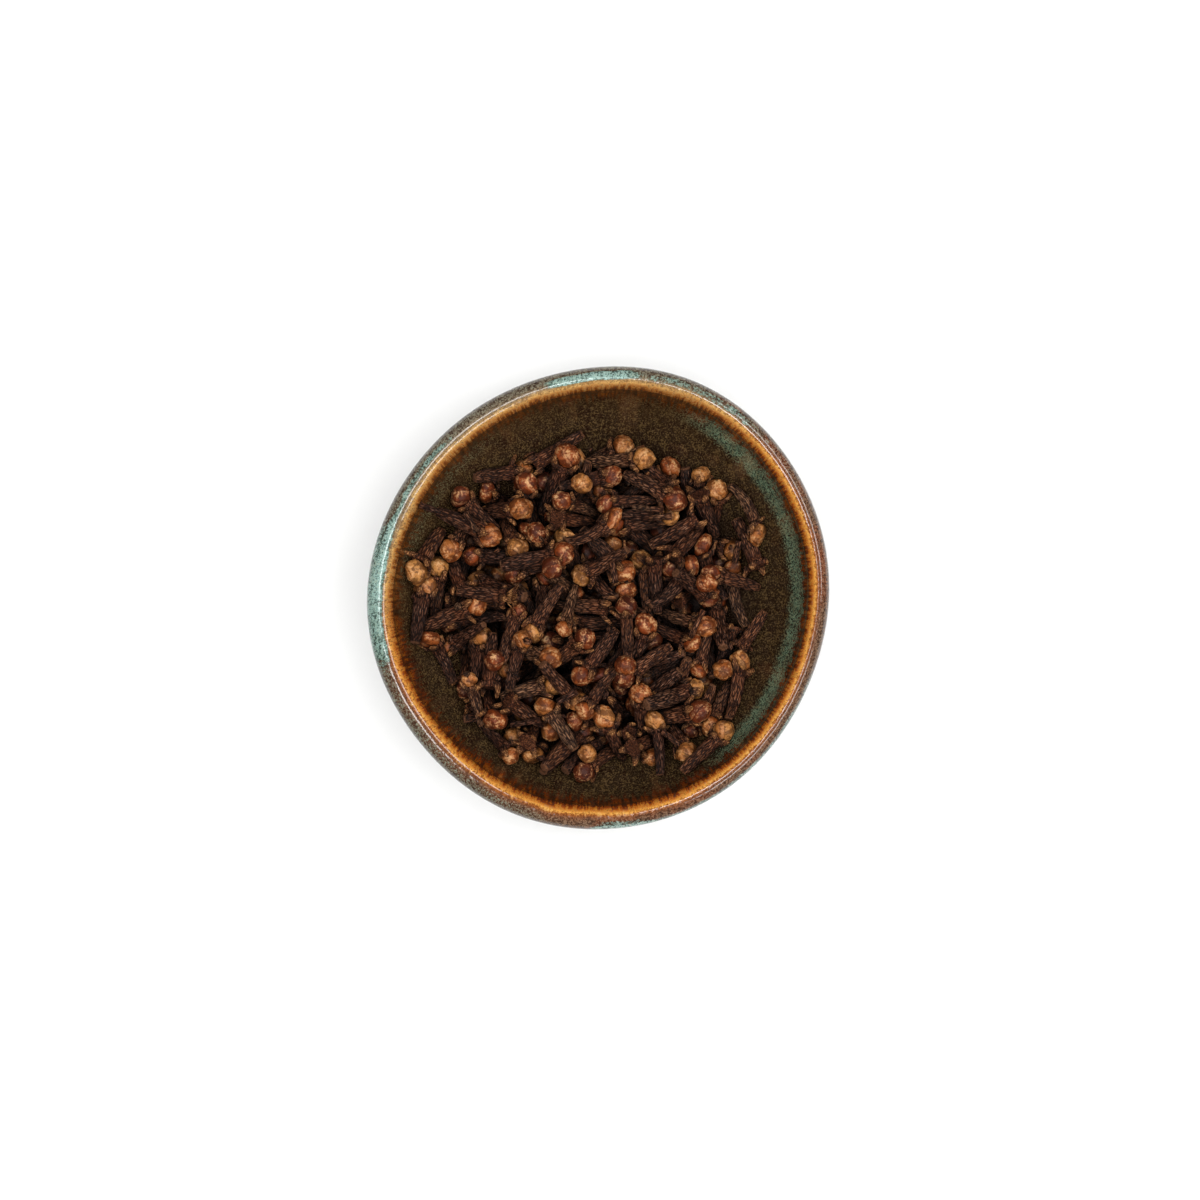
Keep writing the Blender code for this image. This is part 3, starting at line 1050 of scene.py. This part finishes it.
def laid(mesh, x, y, azimuth, rise, sink=0.5):
    """A matrix that lays a mesh on the heap at (x, y) millimetres; rise tips its far end up."""
    round_z = Matrix.Rotation(math.radians(azimuth), 4, "Z")
    over = Matrix.Rotation(math.radians(90 - rise), 4, "Y")
    flat = Matrix.Translation(Vector((x, y, 0)) * MM) @ (round_z @ over)
    lift = -1.0
    for vertex in mesh.vertices:
        spot = flat @ vertex.co
        hit = under_bits.ray_cast(Vector((spot.x, spot.y, 0.06)), Vector((0, 0, -1)))[0]
        lift = max(lift, hit.z - spot.z)
    return Matrix.Translation((0, 0, lift - sink * MM)) @ flat


# %% Laying the bits
# Places are in millimetres from the middle of the dish, and directions in degrees.
TWIGS = (
    (9.5, 17.2, -4, True),
    (12.0, 15.6, 4, False),
    (-32.0, 17.0, 160, False),
    (-24.5, 14.6, 120, False),
    (19.0, -5.0, 65, True),
    (-6.0, -19.0, 30, False),
    (3.0, 5.0, 100, False),
    (27.0, 9.0, 80, False),
    (-14.0, -24.0, 10, True),
    (14.0, -27.0, 140, False),
)
BUDS = ((-9.0, 6.0), (5.0, -13.0), (21.0, 3.0), (-20.0, -12.0), (-3.0, 22.0), (-2.0, -30.0), (24.0, -14.0))
CRUMBS = 36
CRUMB_REACH = 31
STAMENS = 34
bits = []
flower = Clove(61, bend=0.4, length=1.0, bud=False)
for mesh in (clove_mesh("flower", flower), stamens(flower, STAMENS, 4)):
    bits.append((mesh, laid(clove_mesh("flower_low", flower), -22.5, 0.8, -8, 6, 1.2)))
for number, (x, y, azimuth, fork) in enumerate(TWIGS):
    mesh = twig(70 + number, 6.0 if fork else 4.4, 0.55 if fork else 0.62, fork)
    bits.append((mesh, laid(mesh, x, y, azimuth, 5)))
for number, (x, y) in enumerate(BUDS):
    mesh = loose_bud(90 + number)
    bits.append((mesh, laid(mesh, x, y, number * 51, 30, 1.0)))
dice = random.Random(8)
for number in range(CRUMBS):
    around, out = dice.uniform(0, math.tau), CRUMB_REACH * math.sqrt(dice.random())
    mesh = crumb(number, dice.uniform(0.35, 0.8))
    x, y = out * math.cos(around) - 2, out * math.sin(around) - 2
    bits.append((mesh, laid(mesh, x, y, dice.uniform(0, 360), dice.uniform(-30, 30), 0.2)))
clove_pieces.append(joined("loose_bits", bits, 9))
print("loose bits", len(bits), "with", len(clove_pieces[-1].data.polygons), "faces")

# %% [markdown]
# Down between the cloves it gets dark. So each point of the heap notes how open it is to the sky:
# the share of a fixed set of rays that meets nothing nearby. The finish paints shade into the
# colour of what is closed in.

# %% How open each point is
OPEN_REACH = 12 * MM
SKIN_GAP = 0.12
SKY = [
    Vector((math.cos(turn) * math.sin(tilt), math.sin(turn) * math.sin(tilt), math.cos(tilt)))
    for tilt, count, start in ((0.0, 1, 0.0), (0.55, 4, 0.4), (1.1, 6, 0.0))
    for turn in (start + math.tau * number / count for number in range(count))
]
heap_tree = tree_of(clove_pieces)
for piece in clove_pieces:
    shares = []
    for vertex in piece.data.vertices:
        start = vertex.co + vertex.normal * SKIN_GAP * MM
        free = sum(heap_tree.ray_cast(start, ray, OPEN_REACH)[0] is None for ray in SKY)
        shares.append(free / len(SKY))
    piece.data.attributes.new("open", "FLOAT", "POINT").data.foreach_set("value", shares)
    print(piece.name, "mean openness", round(sum(shares) / len(shares), 3))

# %% [markdown]
# ## The finish of a clove
# The stem is dark brown with a hint of purple, and dry. Its wrinkles run lengthwise and catch
# the light on their ridges. The bud is warmer and smoother, from dark rust to tan. A paler line
# along the edge of each petal is a painted highlight, with painted shade in the fold beside it,
# and painted highlights sit on the bud's upper part. The lobes are tan at their tips, where
# rubbing wore them.

# %% Where each point of a clove lies
brown = Finish("clove_brown")
own = brown.attribute("own", "Vector")
bud = brown.attribute("bud")
tip = brown.attribute("tip")
shade = brown.attribute("shade")
own_x, own_y, own_z = brown.parts(own)
lengthwise = brown.vector(own_x + shade * 40, own_y, own_z * 0.24)
grain = brown.noise(lengthwise, 2.1, 3.0, 0.7)
streak = brown.noise(lengthwise, 6.0, 2.0, 0.6)
net = brown.node(
    "ShaderNodeTexVoronoi",
    {"feature": "DISTANCE_TO_EDGE"},
    {"Vector": brown.vector(own_x + grain * 0.4, own_y + shade * 30, own_z * 0.18), "Scale": 3.0},
)
ridge = brown.step(net, 0.02, 0.26)
fine = brown.noise(brown.place(), 2600.0, 2.0, 0.6)
blotch = brown.noise(brown.place(), 420.0, 2.0, 0.6)

# %% The colours of the stem and the lobes
stem_dark = brown.mix(shade, tint(12, 4, 2), tint(34, 14, 8))
stem_light = brown.mix(shade, tint(98, 61, 46), tint(150, 94, 62))
pale_lot = (shade * 13.7).math("FRACT", shade * 13.7)
stem_light = brown.mix(brown.step(pale_lot, 0.78, 1.0) * 0.6, stem_light, tint(176, 130, 94))
worn = brown.step(ridge * 0.36 + grain * 0.36 + streak * 0.28, 0.28, 0.78)
stem = brown.mix(worn, stem_dark, stem_light)
stem = brown.mix(brown.step(blotch, 0.50, 0.66) * 0.5, stem, tint(30, 15, 12))
glint = brown.step(streak * 0.6 + grain * 0.4, 0.55, 0.66) * ridge
stem = brown.mix(glint * 0.45, stem, tint(206, 164, 136))
cut_end = brown.step(own_z, 0.5, 0.1) * (1 - bud) * brown.step(tip, 0.1, 0.0)
stem = brown.mix(cut_end * 0.6, stem, tint(150, 100, 68))
rusty_end = brown.step(own_z + (blotch - 0.5) * 6, 5.0, 10.0) * (1 - brown.step(tip, 0.0, 0.1))
stem = brown.mix(rusty_end * 0.45, stem, brown.mix(worn, tint(66, 30, 18), tint(160, 92, 56)))
lobe = brown.step(tip + (fine - 0.5) * 0.6, 0.30, 0.85)
lobe_skin = brown.mix(worn, tint(112, 62, 34), tint(214, 150, 92))
stem = brown.mix(lobe * 0.85, stem, lobe_skin)

# %% The colours of the bud
# The petal number gives each petal a tone of its own.
bud_mottle = brown.noise(brown.place(), 560.0, 3.0, 0.65)
turn = own_y.math("ARCTAN2", own_y, own_x) * (4 / math.tau) + own_z * 0.7 + shade * 7
turn = turn + (bud_mottle - 0.5) * 0.6
petal = turn.math("FRACT", turn)
petal_number = turn.math("FLOOR", turn)
ticket = brown.vector(petal_number, shade * 97, 0)
lot = brown.node("ShaderNodeTexWhiteNoise", {"noise_dimensions": "2D"}, {0: ticket})
hue = (shade * 7.3).math("FRACT", shade * 7.3)
bud_hues = (
    (0.0, tint(94, 42, 26)),
    (0.3, tint(146, 68, 30)),
    (0.6, tint(166, 90, 40)),
    (1.0, tint(208, 142, 76)),
)
bud_skin = brown.ramp(hue * 0.9 + lot * 0.3 - 0.1, bud_hues)
bud_skin = brown.mix(brown.step(bud_mottle, 0.54, 0.44) * 0.65, bud_skin, tint(52, 22, 14))
# Painted highlight: a pale line along the edge of each petal, broken up by noise.
petal_edge_highlight = brown.band(petal, 0.55, 0.88, 0.95, 1.0) * brown.step(fine * 0.5 + bud_mottle * 0.5, 0.44, 0.58)
bud_skin = brown.mix(petal_edge_highlight * 0.6, bud_skin, tint(226, 164, 114))
# Painted shade: the fold where one petal tucks under the next goes dark.
petal_fold_shade = brown.step(petal, 0.14, 0.0)
bud_skin = brown.mix(petal_fold_shade * 0.55, bud_skin, tint(36, 16, 11))
# Painted highlight: bright golden patches over the bud's upper part, away from the stem.
painted_bud_highlight = brown.step(bud_mottle * 0.6 + fine * 0.4, 0.52, 0.62) * brown.step(own_z, -0.3, 0.6)
bud_skin = brown.mix(painted_bud_highlight * 0.55, bud_skin, tint(255, 200, 138))

# %% The whole clove
skin_colour = brown.mix(bud, stem, bud_skin)
# Painted shade: the colour goes near black where little of the sky is open, down between the cloves.
painted_gap_shade = brown.step(brown.attribute("open"), 0.62, 0.05)
skin_colour = brown.mix(painted_gap_shade * 0.9, skin_colour, tint(6, 2, 1))
relief = (ridge * 0.6 + grain * 0.6) * (1 - bud * 0.85) + fine * 0.3 + bud * petal * 0.35
roughness = 0.58 - bud * 0.12 + (fine - 0.5) * 0.3
brown.coat({"Base Color": skin_colour, "Roughness": roughness, "Normal": brown.bump(relief, 0.45 * MM)})
brown.coat({"Specular IOR Level": 0.22})
for piece in clove_pieces:
    piece.data.materials.append(brown.material)
    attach(piece, "root")
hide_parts("cloves")
print("clove nodes", len(brown.tree.nodes), "on", len(clove_pieces), "pieces")

# %% [markdown]
# ## The core
# Under the poured cloves stands a dark core, so that no gap shows the bottom of the dish. It
# is the inside of the dish filled to the height that the cloves were poured on, and just
# clear of the wall. Its near-black browns are painted shade, for the cloves down in the dark.
# Only glimpses of it show, so a rough surface is enough.

# %% The core
def filled_outline():
    """(radius, height) of the core: under it, up the wall, and back over its top."""
    clearance = 0.2 * MM
    steps = 6
    points = [(0.0, FLOOR_HEIGHT + clearance)]
    for step in range(1, steps + 1):
        height = FLOOR_HEIGHT + (CORE_HEIGHT - FLOOR_HEIGHT) * (step / steps) ** 1.6
        points.append((inner_radius_at(height) - clearance, height + clearance))
    top = [(radius * 0.99, height) for radius, height in core_outline(24)]
    return points[:-1] + top[::-1]


core_body = turned(filled_outline(), 96)
for vertex in core_body.verts:
    if vertex.co.z > CORE_HEIGHT - 0.01 * MM:
        bumps = math.sin(vertex.co.x / MM * 1.9) * math.sin(vertex.co.y / MM * 1.7 + vertex.co.x / MM)
        vertex.co.z += 0.5 * MM * bumps
    vertex.co = uneven(vertex.co) + dish_shift
core = new_piece("clove_core", core_body)
core_shade_finish = Finish("painted_shade_core")
core_grain = core_shade_finish.noise(core_shade_finish.place(), 900.0, 3.0, 0.6)
# Painted shade: the core's near-black browns stand for cloves lying deep in shade.
core_shade_colour = core_shade_finish.mix(core_grain, tint(12, 6, 4), tint(44, 24, 16))
core_shade_finish.coat({"Base Color": core_shade_colour, "Normal": core_shade_finish.bump(core_grain, 0.6 * MM), "Roughness": 0.9})
core.data.materials.append(core_shade_finish.material)
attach(core, "root")
print("core faces", len(core.data.polygons))

# %% [markdown]
# ## Floor, light and camera
# A pale floor and soft light from above and the right, as by a window with a white wall
# behind. The camera looks straight down.

# %% Floor
floor_finish = Finish("pale_floor")
floor_finish.coat({"Base Color": (0.86, 0.86, 0.855, 1), "Roughness": 0.9, "Specular IOR Level": 0.1})
floor_body = bmesh.new()
bmesh.ops.create_grid(floor_body, x_segments=1, y_segments=1, size=1.5)
floor = new_piece("floor", floor_body, smooth=False)
floor.data.materials.append(floor_finish.material)


# %% Lights
def soft_light(name, azimuth, elevation, distance, size, power):
    """A soft light of a width and height that aims at the dish, from a direction in degrees."""
    data = bpy.data.lights.new(name, "AREA")
    data.shape = "RECTANGLE"
    data.energy = power
    data.size, data.size_y = size
    light = bpy.data.objects.new(name, data)
    around, up = math.radians(azimuth), math.radians(elevation)
    toward = Vector((math.cos(around) * math.cos(up), math.sin(around) * math.cos(up), math.sin(up)))
    light.location = toward * distance
    light.rotation_euler = toward.to_track_quat("Z", "Y").to_euler()
    bpy.context.scene.collection.objects.link(light)
    return light


soft_light("window", 28, 62, 1.2, (0.58, 0.22), 3.4)
soft_light("door", 318, 63, 1.2, (0.52, 0.20), 3.0)
soft_light("far_window", 220, 79, 1.3, (0.24, 0.24), 2.6)
soft_light("lamp", 137, 80, 1.3, (0.20, 0.20), 1.6)
for azimuth in (0, 90, 180, 270):
    wall = soft_light(f"wall_{azimuth}", azimuth, 42, 1.2, (0.8, 0.5), 2.0 if azimuth == 180 else 3.0)
    wall.visible_glossy = False
ceiling = soft_light("ceiling", 0, 90, 1.5, (1.15, 1.15), 14.0)
ceiling.visible_glossy = False
world = bpy.data.worlds.new("studio")
world.use_nodes = True
world.node_tree.nodes["Background"].inputs["Color"].default_value = (1.0, 0.99, 0.97, 1)
world.node_tree.nodes["Background"].inputs["Strength"].default_value = 0.07
bpy.context.scene.world = world

# %% Camera
camera_data = bpy.data.cameras.new("camera")
camera_data.lens = 100
camera_data.sensor_width = 36
camera = bpy.data.objects.new("camera", camera_data)
FRAME_WIDTH = 228 * MM
height = DISH_HEIGHT + FRAME_WIDTH * camera_data.lens / camera_data.sensor_width
camera.location = (0.35 * MM, -0.4 * MM, height)
bpy.context.scene.collection.objects.link(camera)
bpy.context.scene.camera = camera
bpy.context.scene.view_settings.view_transform = "Standard"
print("camera", round(height, 3), "m over the table")
